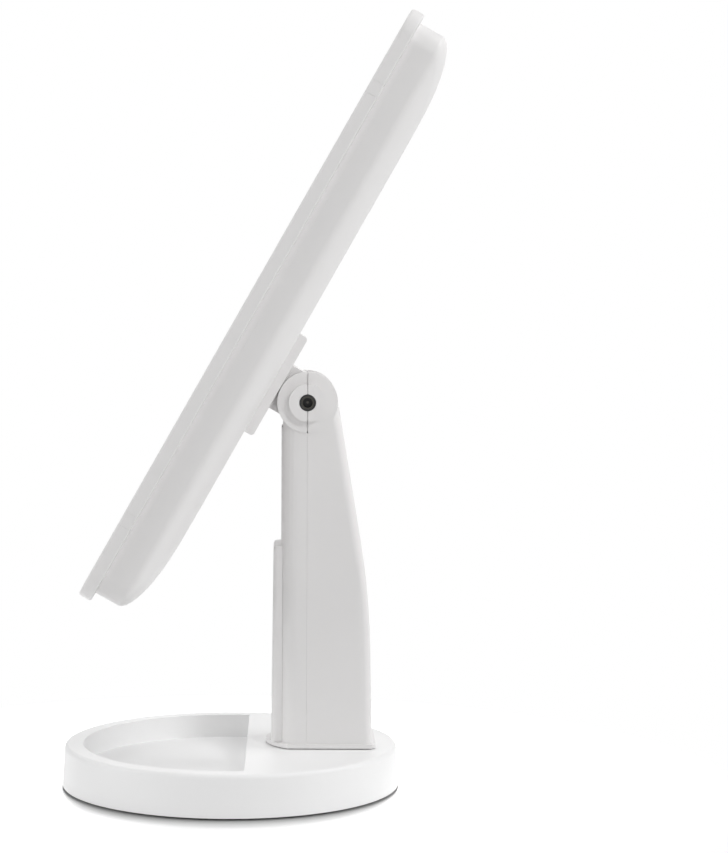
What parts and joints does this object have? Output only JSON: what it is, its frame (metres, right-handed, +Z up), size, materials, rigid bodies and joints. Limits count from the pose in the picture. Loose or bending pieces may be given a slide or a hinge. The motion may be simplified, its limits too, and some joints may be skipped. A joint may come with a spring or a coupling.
{
  "type": "trifold vanity mirror",
  "caption": "Lighted trifold vanity mirror: folding wings over a tilting centre panel, on a tapered battery post and a round base with a tray.",
  "frame": {"origin": "centre of the round base, on the table, at the underside of the non-slip pad", "axes": "+Z up, -X towards the user, +X to the rear, Y across along the tilt axis"},
  "size_m": [0.1443, 0.178, 0.2935],
  "materials": {
    "white_plastic": "satin moulded white",
    "inner_plastic": "moulded off-white",
    "black_plastic": "moulded black",
    "steel": "zinc-plated steel",
    "nickel": "nickel-plated",
    "pad_rubber": "soft dark pad",
    "circuit_board": "green solder mask",
    "led_chip": "yellow phosphor",
    "frosted_lens": "frosted translucent",
    "cell_can": "printed sleeve, left plain",
    "mirror_glass": "silvered glass"
  },
  "bodies": {
    "stand": {"base_shell": "white_plastic", "base_bottom_cover": "white_plastic", "ballast_plate": "steel", "non_slip_pad": "pad_rubber", "base_screws": "steel", "column_front_shell": "white_plastic", "column_rear_shell": "white_plastic", "column_screws": "steel", "foot_screws": "steel", "battery_cradle": "inner_plastic", "battery_cells": "cell_can", "battery_contacts": "nickel", "battery_springs": "nickel", "dc_jack": "black_plastic", "jack_sleeve": "nickel", "jack_contacts": "nickel", "hinge_axle": "steel", "friction_washers": "steel"},
    "door": {"battery_door": "white_plastic"},
    "panel": {"hinge_bracket": "white_plastic", "bracket_screws": "steel", "rear_casing": "white_plastic", "front_bezel": "white_plastic", "centre_mirror": "mirror_glass", "led_boards": "circuit_board", "leds": "led_chip", "led_lenses": "frosted_lens", "driver_board": "circuit_board", "touch_sensor_board": "circuit_board", "wing_hinge_pins": "steel"},
    "left_wing": {"left_wing_frame": "white_plastic", "left_upper_mirror": "mirror_glass", "left_lower_mirror": "mirror_glass"},
    "right_wing": {"right_wing_frame": "white_plastic", "right_mirror": "mirror_glass"}
  },
  "joints": [
    {"name": "panel_tilt", "type": "hinge", "parent": "stand", "child": "panel", "pos_m": [0.0295, 0, 0.15], "axis": [0, 1, 0], "range_deg": [-29.5, 60.5]},
    {"name": "left_wing_fold", "type": "hinge", "parent": "panel", "child": "left_wing", "pos_m": [-0.00135, 0.0876, 0.16746], "axis": [-0.4924, 0, -0.8704], "range_deg": [0, 180]},
    {"name": "right_wing_fold", "type": "hinge", "parent": "panel", "child": "right_wing", "pos_m": [-0.00135, -0.0876, 0.16746], "axis": [0.4924, 0, 0.8704], "range_deg": [0, 180]},
    {"name": "door_slide", "type": "slide", "parent": "stand", "child": "door", "axis": [0, 0, 1], "range_m": [0, 0.008]}
  ]
}
